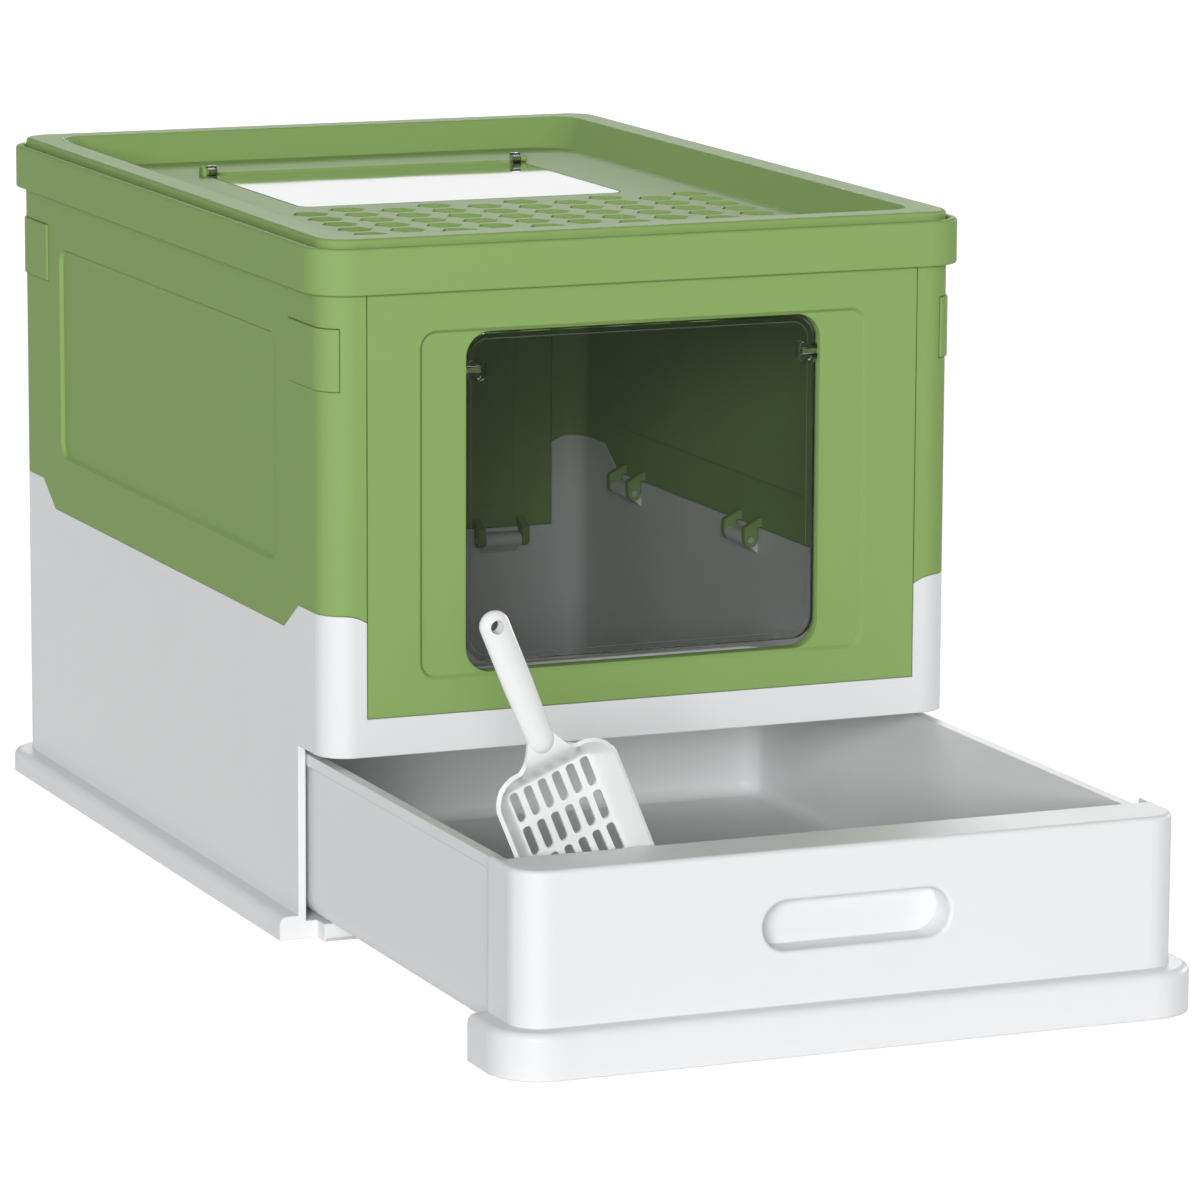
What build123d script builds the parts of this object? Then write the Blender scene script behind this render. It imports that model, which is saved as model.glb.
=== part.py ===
from build123d import *
import os
from math import cos, radians, sin

os.makedirs("parts", exist_ok=True)

# Foldable hooded litter box. Millimetres, +Z up, front towards -Y, origin at the middle of the underside.

# Clearances
seat_gap = 0.3  # a piece above its seat on another body
seam_gap = 0.5  # between walls that fold past each other
pin_gap = 0.05  # round a turning pin
fixed_gap = 0.02  # round a pin in the piece that holds it
level_tol = 0.05  # for picking faces and edges by their place

# Walls in plan and in height
width = 340.0
depth = 488.0
corner_r = 16.0
panel_t = 3.5
wall_top = 336.0
column_w = 21.6  # corner column of a side wall, seen from the front
field_depth = 2.0  # sunk panels in the walls
field_slope = 40.0  # degrees, sides of the sunk panels
field_r = 9.0

# Base tub
base_t = 4.0
floor_top = 9.0
floor_t = 3.0
post_top = 170.0
side_sill = 156.0
end_sill = 118.0
rail_h = 19.0
sill_half = 184.0  # half the length of the low part of a side sill
sill_slope = 21.0  # run of the slope at each end of that part
plinth_h = 12.0
plinth_proud = 10.0
plinth_round = 4.0
lip_inset = 10.0  # ends of the floor's front lip, in from the sides
lip_reach = 10.0  # lip in front of the side walls' ends
rib_w = 14.0
under_border = 26.0  # solid border under the floor's front and back
side_border = 8.0
pad_l = 42.0
pad_w = 16.0
pad_t = 1.5
pad_inset = 32.0  # middle of a pad, in from the side

# Wall hinges
hinge_in = 10.0  # axis inside the outer face
hinge_drop = 6.0  # axis below the sill
pin_r = 1.7
knuckle_r = 3.8
lug_w = 22.0
lug_drop = 10.0
finger_w = 4.2
finger_rise = 12.0
finger_root = 3.0
side_inset = 23.0  # outer hinges of a side wall, in from the ends of its sill
end_inset = 33.4  # hinges of a front or back wall, in from its seams

# Sunk panels of the walls
side_field_w = 346.0
side_field_low = 186.5
side_field_high = 302.0
end_field_w = 241.0
end_field_low = 135.5
end_field_high = 309.5

# Front doorway and its flap
door_w = 191.0
door_low = 137.2
door_high = 307.5
door_r = 13.0
collar_w = 8.0
collar_deep = 4.5  # collar behind the sunk panel
flap_t = 2.5
flap_side_gap = 1.5
flap_low_gap = 4.3
flap_bead_w = 3.2
flap_bead_proud = 0.8
flap_bead_round = 0.7
flap_axis_drop = 19.5  # axis below the top of the doorway
hub_w = 9.0
hub_h = 10.0
hub_deep = 7.0
flap_pin_r = 1.9
flap_pin_grip = 6.0  # pin inside the collar or ear
flap_pin_run = 7.0  # pin inside the hub

# Corner clips
clip_wrap = 8.5  # end of a clip round the corner, in from the side
clip_reach = 52.0  # end of a clip along the side, in from the front or back
clip_low = 281.0
clip_high = 312.4
clip_pocket = 2.0
clip_proud = 1.0
clip_round = 0.6

# Lid
band_proud = 5.3
band_gap = 0.8
band_low = 329.0
band_top = 352.0
band_round = 2.0
band_low_round = 0.8
seat_w = 10.0
seat_t = 3.0
rim_top = 356.0
rim_round = 2.0
rim_inset = 0.5
tray_t = 3.0
tray_floor = 340.5
tray_mouth = 16.0  # top edge of the dish, in from the outside of the walls
tray_foot = 30.0  # foot of the dish's slope, in from the outside of the walls
mouth_r = 14.0
foot_r = 20.0
hole_r = 9.9
hole_pitch_x = 48.8
hole_pitch_y = 22.0
hole_columns = 6
hole_rows = 9
hole_middle_y = -104.0

# Top exit and its flap
exit_w = 185.0
exit_front = 1.5
exit_axis_y = 151.5
exit_r = 8.0
exit_back = 11.0  # recess behind the axis
exit_ledge = 4.0
exit_edge_gap = 1.0
exit_axis_rise = 2.1
exit_hub_r = 3.2
exit_hub_l = 4.5
exit_pin_run = 3.5  # pin inside the hub
ear_t = 2.5
ear_gap = 0.4

# Drawer
pull = 254.0  # how far the drawer stands open
front_side = 40.0
front_ledge = 31.0
front_t = 28.0
front_shell = 3.0
front_gap = 2.0  # under the rail
front_lift = 0.6
front_round = 2.5
front_plinth_h = 23.0
recess_w = 96.0
recess_h = 24.0
recess_z = 60.7
recess_deep = 16.0
recess_round = 2.0
stay_x = 110.0
stay_t = 3.0
tray_side_gap = 1.0
litter_t = 3.0
litter_r = 14.0
litter_foot_r = 10.0
rim_w = 2.5
rim_h = 6.0
litter_back_gap = 6.0

# Scoop
scoop_lean = 22.6  # degrees to the left
scoop_x = -91.0
scoop_l = 208.0
blade_l = 128.0  # tip to shoulders
blade_w = 63.0
tip_r = 8.0
shoulder_r = 11.0
flare_r = 9.0  # between a shoulder and the neck
neck_w = 16.5
neck_y = 141.0
blade_t = 2.2
blade_wall = 2.4
blade_deep = 15.0
blade_slope = 16.0  # degrees, the pan's sides
handle_foot = 136.0
handle_w = 16.5
handle_t = 8.0
handle_proud = 2.0  # handle in front of the pan's rim
handle_round = 3.4
handle_back_round = 1.6
slot_l = 15.5
slot_w = 4.8
slot_pitch_x = 8.2
slot_pitch_y = 17.6
slot_high = 115.0  # middle of the top row
slot_columns = 6
slot_rows = 6
hang_hole_r = 3.2

# Places worked out from the sizes above
seam_x = width / 2 - column_w
side_station = sill_half - side_inset
end_station = seam_x - end_inset
side_stations = (-side_station, 0.0, side_station)
end_stations = (-end_station, end_station)
lip_half = width / 2 - lip_inset
pad_x = width / 2 - pad_inset
clip_front = width / 2 - clip_wrap
clip_side = depth / 2 - clip_reach
side_hinge_z = side_sill - hinge_drop
end_hinge_z = end_sill - hinge_drop
rail_low = end_sill - rail_h
bay_front = -depth / 2 + front_side + seam_gap
floor_front = bay_front - lip_reach
field_front = -depth / 2 + field_depth
field_back = field_front + panel_t
flap_y = (field_front + field_back + collar_deep) / 2
flap_axis_z = door_high - flap_axis_drop
collar_back = field_back + collar_deep
front_y = -depth / 2 - pull
front_top = rail_low - front_gap
front_under = front_top - front_shell
litter_low = floor_top + seat_gap
litter_floor = litter_low + litter_t
rim_half = width / 2 - base_t - tray_side_gap
litter_half = rim_half - rim_w
litter_front = front_y + front_t
litter_back = depth / 2 - base_t - litter_back_gap - rim_w - pull
seat_low = wall_top + seat_gap
seat_top = seat_low + seat_t
exit_axis_z = tray_floor + exit_axis_rise
exit_rest = tray_floor - flap_t - seat_gap

# Hinge planes: x points into the box, y up, and the normal runs along the hinge axis
left_hinge = Plane((-width / 2 + hinge_in, 0, side_hinge_z), x_dir=(1, 0, 0), z_dir=(0, -1, 0))
right_hinge = Plane((width / 2 - hinge_in, 0, side_hinge_z), x_dir=(-1, 0, 0), z_dir=(0, 1, 0))
front_hinge = Plane((0, -depth / 2 + hinge_in, end_hinge_z), x_dir=(0, 1, 0), z_dir=(1, 0, 0))
back_hinge = Plane((0, depth / 2 - hinge_in, end_hinge_z), x_dir=(0, -1, 0), z_dir=(-1, 0, 0))


def outline(outset, z, radius=None, pulled=0.0):
    """Rounded plan outline of the walls, moved out by outset, at height z."""
    with BuildSketch(Plane((0, -pulled, z))) as plan:
        corner = corner_r + outset if radius is None else radius
        RectangleRounded(width + 2 * outset, depth + 2 * outset, corner)
    return plan.sketch


def ring(outer, inner, z):
    """Plan outline between two outsets of the walls' outline."""
    with BuildSketch(Plane.XY.offset(z)) as plan:
        RectangleRounded(width + 2 * outer, depth + 2 * outer, corner_r + outer)
        RectangleRounded(width + 2 * inner, depth + 2 * inner, corner_r + inner, mode=Mode.SUBTRACT)
    return plan.sketch


def corner_strip(outer, inner, z, side, end, margin):
    """The part of a plan ring that a corner clip covers, on the side and end given as -1 or 1."""
    reach = width / 2
    with BuildSketch(Plane.XY.offset(z)) as plan:
        RectangleRounded(width + 2 * outer, depth + 2 * outer, corner_r + outer)
        RectangleRounded(width + 2 * inner, depth + 2 * inner, corner_r + inner, mode=Mode.SUBTRACT)
        with Locations((side * (clip_front + margin + reach / 2), end * (clip_side + margin + reach / 2))):
            Rectangle(reach, reach, mode=Mode.INTERSECT)
    return plan.sketch


def lug_profile(plane):
    """Section of a hinge lug on the base's inner face, with its pin hole."""
    root = -hinge_in + base_t / 2
    with BuildSketch(plane) as section:
        with BuildLine():
            Polyline((root, -lug_drop), (knuckle_r, 0), (0, knuckle_r), (root, knuckle_r), close=True)
        make_face()
        Circle(knuckle_r)
        Circle(pin_r + fixed_gap, mode=Mode.SUBTRACT)
    return section.sketch


def finger_profile(plane):
    """Section of a wall's hinge finger, which reaches over the sill and down round the pin."""
    root = -hinge_in + panel_t / 2
    shelf = hinge_drop + 2 * seam_gap
    with BuildSketch(plane) as section:
        with BuildLine():
            Polyline(
                (-knuckle_r, 0),
                (-knuckle_r, shelf),
                (root, shelf),
                (root, finger_rise),
                (root + finger_root, finger_rise),
                (knuckle_r, shelf),
                (knuckle_r, 0),
                close=True,
            )
        make_face()
        Circle(knuckle_r)
        Circle(pin_r + pin_gap, mode=Mode.SUBTRACT)
    return section.sketch


def finger_places(stations):
    """Middles of the two fingers beside each lug."""
    beside = lug_w / 2 + seam_gap + finger_w / 2
    return [station + side * beside for station in stations for side in (-1, 1)]


def pin_section(plane):
    """Section of a wall hinge pin."""
    with BuildSketch(plane) as section:
        Circle(pin_r)
    return section.sketch


def upright(y, low, high, across, radius=None):
    """Rectangle on the plane at y that faces the front, between two heights."""
    with BuildSketch(Plane.XZ.offset(-y)) as face:
        with Locations((0, (low + high) / 2)):
            if radius is None:
                Rectangle(across, high - low)
            else:
                RectangleRounded(across, high - low, radius)
    return face.sketch


# Base tub: walls, floor, plinth, posts and hinge lugs
with BuildPart() as base_shell:
    extrude(outline(plinth_proud, 0), amount=plinth_h)
    fillet(base_shell.edges().group_by(Axis.Z)[-1], radius=plinth_round)
    extrude(outline(0, 0), amount=post_top)
    extrude(outline(-base_t, floor_top), amount=post_top - floor_top, mode=Mode.SUBTRACT)
    # The underside is hollow inside its border, with a stiffening cross that reaches the ground
    pocket_front = floor_front + under_border
    pocket_back = depth / 2 - under_border
    with BuildSketch() as underside:
        with Locations((0, (pocket_front + pocket_back) / 2)):
            Rectangle(width - 2 * (base_t + side_border), pocket_back - pocket_front)
        Rectangle(rib_w, depth, mode=Mode.SUBTRACT)
        Rectangle(width, rib_w, mode=Mode.SUBTRACT)
    extrude(amount=floor_top - floor_t, mode=Mode.SUBTRACT)
    # The front is open below the rail, and only the floor's lip runs on past the side walls
    with BuildSketch() as bay:
        with Locations((0, bay_front)):
            Rectangle(2 * width, depth, align=(Align.CENTER, Align.MAX))
            Rectangle(2 * lip_half, lip_reach, align=(Align.CENTER, Align.MAX), mode=Mode.SUBTRACT)
    extrude(amount=rail_low, mode=Mode.SUBTRACT)
    # Front and back are open between the posts, above the sills
    extrude(upright(0, end_sill, post_top, 2 * seam_x), amount=depth, both=True, mode=Mode.SUBTRACT)
    with BuildSketch(Plane.YZ) as side_notch:
        with BuildLine():
            Polyline(
                (-sill_half - sill_slope, post_top),
                (-sill_half, side_sill),
                (sill_half, side_sill),
                (sill_half + sill_slope, post_top),
                close=True,
            )
        make_face()
    extrude(amount=width, both=True, mode=Mode.SUBTRACT)
    # Post tops fall away on an arc about the side hinge, where a folding wall's column swings past
    for plane in (left_hinge, right_hinge):
        with BuildSketch(plane) as relief:
            Rectangle(column_w, 2 * column_w, align=(Align.MIN, Align.MIN))
            Circle(post_top - side_hinge_z, mode=Mode.SUBTRACT)
        extrude(relief.sketch, amount=depth, both=True, mode=Mode.SUBTRACT)
    for plane, stations in ((left_hinge, side_stations), (right_hinge, side_stations),
                            (front_hinge, end_stations), (back_hinge, end_stations)):
        for station in stations:
            extrude(lug_profile(plane.offset(station)), amount=lug_w / 2, both=True)
    # Seats of the anti-slip pads
    front_pad_y = floor_front + pad_w / 2
    back_pad_y = depth / 2 - under_border / 2
    with BuildSketch() as pad_seats:
        with Locations((-pad_x, front_pad_y), (pad_x, front_pad_y), (-pad_x, back_pad_y), (pad_x, back_pad_y)):
            Rectangle(pad_l, pad_w)
    extrude(amount=pad_t, mode=Mode.SUBTRACT)
base_shell.part.label = "base_shell"
export_step(base_shell.part, "parts/base_shell.step")

# Anti-slip pads under the base's corners
with BuildPart() as anti_slip_pads:
    with BuildSketch() as pads:
        with Locations((-pad_x, front_pad_y), (pad_x, front_pad_y), (-pad_x, back_pad_y), (pad_x, back_pad_y)):
            Rectangle(pad_l, pad_w)
    extrude(amount=pad_t)
anti_slip_pads.part.label = "anti_slip_pads"
export_step(anti_slip_pads.part, "parts/anti_slip_pads.step")

# Hinge pins of the four walls, fixed in the base's lugs
pin_half = lug_w / 2 + seam_gap + finger_w
for name, plane, stations in (
    ("left_wall_pins", left_hinge, side_stations),
    ("right_wall_pins", right_hinge, side_stations),
    ("front_wall_pins", front_hinge, end_stations),
    ("back_wall_pins", back_hinge, end_stations),
):
    with BuildPart() as wall_pins:
        for station in stations:
            extrude(pin_section(plane.offset(station)), amount=pin_half, both=True)
    wall_pins.part.label = name
    export_step(wall_pins.part, f"parts/{name}.step")

# Side walls: a panel with a sunk field, a corner column at each end, and hinge fingers
with BuildPart() as left_wall:
    extrude(ring(0, -panel_t, side_sill), amount=wall_top - side_sill)
    with BuildSketch(Plane.XY.offset(side_sill)) as strip:
        with Locations((-width / 2, 0)):
            Rectangle(column_w, depth, align=(Align.MIN, Align.CENTER))
    extrude(amount=wall_top - side_sill, mode=Mode.INTERSECT)
    tab_low = side_sill + seat_gap
    column_low = post_top + seat_gap
    with BuildSketch(Plane.YZ.offset(-width / 2)) as below:
        with BuildLine():
            Polyline(
                (-depth, 0),
                (-depth, column_low),
                (-sill_half - sill_slope, column_low),
                (-sill_half, tab_low),
                (sill_half, tab_low),
                (sill_half + sill_slope, column_low),
                (depth, column_low),
                (depth, 0),
                close=True,
            )
        make_face()
    extrude(amount=hinge_in, mode=Mode.SUBTRACT)
    with BuildSketch(left_hinge) as swing:
        Circle(column_low - side_hinge_z)
        Rectangle(column_w, 2 * column_w, align=(Align.MAX, Align.CENTER), mode=Mode.SUBTRACT)
    extrude(amount=depth, both=True, mode=Mode.SUBTRACT)
    # Sunk field, with the panel carried in behind it
    field_z = (side_field_low + side_field_high) / 2
    field_h = side_field_high - side_field_low
    with BuildSketch(Plane.YZ.offset(-width / 2 + panel_t)) as behind:
        with Locations((0, field_z)):
            RectangleRounded(side_field_w + 2 * panel_t, field_h + 2 * panel_t, field_r + panel_t)
    extrude(amount=field_depth)
    with BuildSketch(Plane.YZ.offset(-width / 2)) as field:
        with Locations((0, field_z)):
            RectangleRounded(side_field_w, field_h, field_r)
    extrude(amount=field_depth, taper=field_slope, mode=Mode.SUBTRACT)
    for end in (-1, 1):
        pocket = corner_strip(clip_proud, -clip_pocket, clip_low, -1, end, 0)
        extrude(pocket, amount=clip_high - clip_low, mode=Mode.SUBTRACT)
    for place in finger_places(side_stations):
        extrude(finger_profile(left_hinge.offset(place)), amount=finger_w / 2, both=True)
left_wall.part.label = "left_wall"
export_step(left_wall.part, "parts/left_wall.step")

with BuildPart() as right_wall:
    mirror(left_wall.part, about=Plane.YZ)
right_wall.part.label = "right_wall"
export_step(right_wall.part, "parts/right_wall.step")

# Corner clips, let into the columns and wrapped round the corners
for name, side, end in (
    ("clip_front_left", -1, -1),
    ("clip_front_right", 1, -1),
    ("clip_back_left", -1, 1),
    ("clip_back_right", 1, 1),
):
    with BuildPart() as clip:
        wrap = corner_strip(clip_proud, -clip_pocket + seat_gap, clip_low + seat_gap, side, end, seat_gap)
        extrude(wrap, amount=clip_high - clip_low - 2 * seat_gap)
        fillet(clip.edges(), radius=clip_round)
    clip.part.label = name
    export_step(clip.part, f"parts/{name}.step")

# Front wall: a panel with a sunk field, a doorway with a collar behind it, and hinge fingers
panel_w = 2 * (seam_x - seam_gap)
with BuildPart() as front_wall:
    extrude(upright(-depth / 2, end_sill + seat_gap, wall_top, panel_w), amount=-panel_t)
    behind = upright(-depth / 2 + panel_t, end_field_low - panel_t, end_field_high + panel_t,
                     end_field_w + 2 * panel_t, field_r + panel_t)
    extrude(behind, amount=-field_depth)
    field = upright(-depth / 2, end_field_low, end_field_high, end_field_w, field_r)
    extrude(field, amount=-field_depth, taper=field_slope, mode=Mode.SUBTRACT)
    collar = upright(field_front + field_depth, door_low - collar_w, door_high + collar_w,
                     door_w + 2 * collar_w, door_r + collar_w)
    extrude(collar, amount=-(collar_back - field_front - field_depth))
    doorway = upright(-depth / 2, door_low, door_high, door_w, door_r)
    extrude(doorway, amount=-2 * (collar_back + depth / 2), mode=Mode.SUBTRACT)
    with BuildSketch(Plane.YZ) as pin_holes:
        with Locations((flap_y, flap_axis_z)):
            Circle(flap_pin_r + fixed_gap)
    extrude(amount=door_w / 2 + flap_pin_grip, both=True, mode=Mode.SUBTRACT)
    for place in finger_places(end_stations):
        extrude(finger_profile(front_hinge.offset(place)), amount=finger_w / 2, both=True)
front_wall.part.label = "front_wall"
export_step(front_wall.part, "parts/front_wall.step")

# Back wall: the same panel without a doorway
with BuildPart() as back_wall:
    extrude(upright(depth / 2, end_sill + seat_gap, wall_top, panel_w), amount=panel_t)
    behind = upright(depth / 2 - panel_t, end_field_low - panel_t, end_field_high + panel_t,
                     end_field_w + 2 * panel_t, field_r + panel_t)
    extrude(behind, amount=field_depth)
    field = upright(depth / 2, end_field_low, end_field_high, end_field_w, field_r)
    extrude(field, amount=field_depth, taper=field_slope, mode=Mode.SUBTRACT)
    for place in finger_places(end_stations):
        extrude(finger_profile(back_hinge.offset(place)), amount=finger_w / 2, both=True)
back_wall.part.label = "back_wall"
export_step(back_wall.part, "parts/back_wall.step")

# Front flap: a clear sheet with a beaded edge and two hubs
flap_w = door_w - 2 * flap_side_gap
flap_low = door_low + flap_low_gap
flap_high = door_high - flap_side_gap
flap_r = door_r - flap_side_gap
with BuildPart() as front_flap:
    extrude(upright(flap_y, flap_low, flap_high, flap_w, flap_r), amount=flap_t / 2, both=True)
    with BuildSketch(Plane.XZ.offset(-flap_y)) as edge:
        with Locations((0, (flap_low + flap_high) / 2)):
            RectangleRounded(flap_w, flap_high - flap_low, flap_r)
            RectangleRounded(flap_w - 2 * flap_bead_w, flap_high - flap_low - 2 * flap_bead_w,
                             flap_r - flap_bead_w, mode=Mode.SUBTRACT)
    extrude(amount=flap_t / 2 + flap_bead_proud, both=True)
    bead_edges = front_flap.edges().group_by(Axis.Y)
    fillet(bead_edges[0] + bead_edges[-1], radius=flap_bead_round)
    with BuildSketch(Plane.XZ.offset(-flap_y)) as hubs:
        hub_x = (flap_w - hub_w) / 2
        with Locations((-hub_x, flap_axis_z), (hub_x, flap_axis_z)):
            RectangleRounded(hub_w, hub_h, hub_w / 4)
    extrude(amount=hub_deep / 2, both=True)
    for side in (-1, 1):
        with BuildSketch(Plane.YZ.offset(side * flap_w / 2)) as bore:
            with Locations((flap_y, flap_axis_z)):
                Circle(flap_pin_r + pin_gap)
        extrude(bore.sketch, amount=-side * (flap_pin_run + seam_gap), mode=Mode.SUBTRACT)
front_flap.part.label = "front_flap"
export_step(front_flap.part, "parts/front_flap.step")

# Pins of the front flap, fixed in the doorway's collar
with BuildPart() as front_flap_pins:
    for side in (-1, 1):
        with BuildSketch(Plane.YZ.offset(side * (door_w / 2 + flap_pin_grip))) as pin_end:
            with Locations((flap_y, flap_axis_z)):
                Circle(flap_pin_r)
        extrude(pin_end.sketch, amount=-side * (flap_pin_grip + flap_side_gap + flap_pin_run))
front_flap_pins.part.label = "front_flap_pins"
export_step(front_flap_pins.part, "parts/front_flap_pins.step")

# Lid frame: a band round the walls' tops with an inner seat that rests on them
with BuildPart() as lid_frame:
    extrude(ring(band_proud, band_gap, band_low), amount=band_top - band_low)
    fillet(lid_frame.edges().group_by(Axis.Z)[-1], radius=band_round)
    fillet(lid_frame.edges().group_by(Axis.Z)[0], radius=band_low_round)
    extrude(ring(band_gap + base_t / 2, -seat_w, seat_low), amount=seat_t)
lid_frame.part.label = "lid_frame"
export_step(lid_frame.part, "parts/lid_frame.step")

# Lid tray: a shallow dish with a rolled rim, a drain of hexagonal holes and the top exit
exit_middle = (exit_front + exit_axis_y + exit_back) / 2
exit_l = exit_axis_y + exit_back - exit_front
top_flap_back = exit_axis_y - exit_axis_rise
with BuildPart() as lid_tray:
    loft(sections=[outline(-tray_foot + tray_t, tray_floor - tray_t, foot_r + tray_t),
                   outline(-tray_mouth + tray_t, rim_top, mouth_r + tray_t)])
    extrude(outline(-rim_inset, rim_top - tray_t), amount=tray_t)
    extrude(ring(-rim_inset, -rim_inset - tray_t, seat_top), amount=rim_top - seat_top)
    loft(sections=[outline(-tray_foot, tray_floor, foot_r), outline(-tray_mouth, rim_top, mouth_r)],
         mode=Mode.SUBTRACT)
    fillet(lid_tray.edges().group_by(Axis.Z)[-1], radius=rim_round)
    # Exit: a stepped frame whose ledge carries the flap
    with BuildSketch(Plane.XY.offset(exit_rest - flap_t)) as exit_frame:
        with Locations((0, exit_middle)):
            RectangleRounded(exit_w + 2 * exit_ledge, exit_l + 2 * exit_ledge, exit_r + exit_ledge)
    extrude(amount=tray_floor - exit_rest)
    with BuildSketch(Plane.XY.offset(exit_rest)) as exit_recess:
        with Locations((0, exit_middle)):
            RectangleRounded(exit_w, exit_l, exit_r)
    extrude(amount=tray_t + flap_t, mode=Mode.SUBTRACT)
    with BuildSketch(Plane.XY.offset(exit_rest - flap_t)) as exit_way:
        with Locations((0, (exit_front + top_flap_back) / 2)):
            RectangleRounded(exit_w - 2 * exit_ledge, top_flap_back - exit_front - 2 * exit_ledge, exit_r)
    extrude(amount=tray_t + flap_t, mode=Mode.SUBTRACT)
    # Ears that hold the flap's pins
    for side in (-1, 1):
        with BuildSketch(Plane.YZ.offset(side * (exit_w / 2 + ear_gap))) as ear:
            with Locations((exit_axis_y, exit_axis_z)):
                Circle(exit_hub_r)
                Rectangle(2 * exit_hub_r, exit_axis_rise + tray_t / 2, align=(Align.CENTER, Align.MAX))
                Circle(flap_pin_r + fixed_gap, mode=Mode.SUBTRACT)
        extrude(ear.sketch, amount=side * ear_t)
    # Drain holes in staggered rows
    with BuildSketch(Plane.XY.offset(tray_floor - tray_t)) as drain:
        with Locations((0, hole_middle_y)):
            with GridLocations(hole_pitch_x, hole_pitch_y, hole_columns, hole_rows):
                RegularPolygon(hole_r, 6)
            with GridLocations(hole_pitch_x, hole_pitch_y, hole_columns - 1, hole_rows - 1):
                RegularPolygon(hole_r, 6)
    extrude(amount=tray_t, mode=Mode.SUBTRACT)
lid_tray.part.label = "lid_tray"
export_step(lid_tray.part, "parts/lid_tray.step")

# Top flap: a clear sheet that lies in the exit's recess, with a hub at each back corner
top_flap_w = exit_w - 2 * exit_edge_gap
with BuildPart() as top_flap:
    with BuildSketch(Plane.XY.offset(exit_rest + seat_gap)) as sheet:
        with Locations((0, (exit_front + exit_edge_gap + top_flap_back) / 2)):
            RectangleRounded(top_flap_w, top_flap_back - exit_front - exit_edge_gap, exit_r - exit_edge_gap)
        with Locations((0, top_flap_back)):
            Rectangle(top_flap_w, 2 * exit_r, align=(Align.CENTER, Align.MAX))
    extrude(amount=flap_t)
    for side in (-1, 1):
        hub_end = Plane.YZ.offset(side * top_flap_w / 2)
        with BuildSketch(hub_end) as hub:
            with Locations((exit_axis_y, exit_axis_z)):
                Circle(exit_hub_r)
        extrude(hub.sketch, amount=-side * exit_hub_l)
        with BuildSketch(hub_end) as hub_bore:
            with Locations((exit_axis_y, exit_axis_z)):
                Circle(flap_pin_r + pin_gap)
        extrude(hub_bore.sketch, amount=-side * (exit_pin_run + seam_gap), mode=Mode.SUBTRACT)
top_flap.part.label = "top_flap"
export_step(top_flap.part, "parts/top_flap.step")

# Pins of the top flap, fixed in the tray's ears
with BuildPart() as top_flap_pins:
    for side in (-1, 1):
        with BuildSketch(Plane.YZ.offset(side * (exit_w / 2 + ear_gap + ear_t))) as pin_end:
            with Locations((exit_axis_y, exit_axis_z)):
                Circle(flap_pin_r)
        extrude(pin_end.sketch, amount=-side * (ear_t + ear_gap + exit_edge_gap + exit_pin_run))
top_flap_pins.part.label = "top_flap_pins"
export_step(top_flap_pins.part, "parts/top_flap_pins.step")

# Drawer tray: an open box with rounded feet and a rim
litter_l = litter_back - litter_front
litter_y = (litter_back + litter_front) / 2
with BuildPart() as drawer_tray:
    with BuildSketch(Plane((0, litter_y, litter_low))) as tray_plan:
        RectangleRounded(2 * litter_half, litter_l, litter_r)
    extrude(amount=front_under - litter_low)
    fillet(drawer_tray.edges().group_by(Axis.Z)[0], radius=litter_foot_r)
    with BuildSketch(Plane((0, litter_y, front_under - rim_h))) as rim_plan:
        RectangleRounded(2 * rim_half, litter_l + 2 * rim_w, litter_r + rim_w)
    extrude(amount=rim_h)
    with BuildSketch(Plane((0, litter_y, litter_floor))) as inside:
        RectangleRounded(2 * (litter_half - litter_t), litter_l - 2 * litter_t, litter_r - litter_t)
    extrude(amount=front_under - litter_floor, mode=Mode.SUBTRACT)
    foot = drawer_tray.faces().filter_by(Axis.Z).filter_by(lambda f: abs(f.center().Z - litter_floor) < level_tol)
    fillet(foot.edges(), radius=litter_foot_r - litter_t)
drawer_tray.part.label = "drawer_tray"
export_step(drawer_tray.part, "parts/drawer_tray.step")

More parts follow.
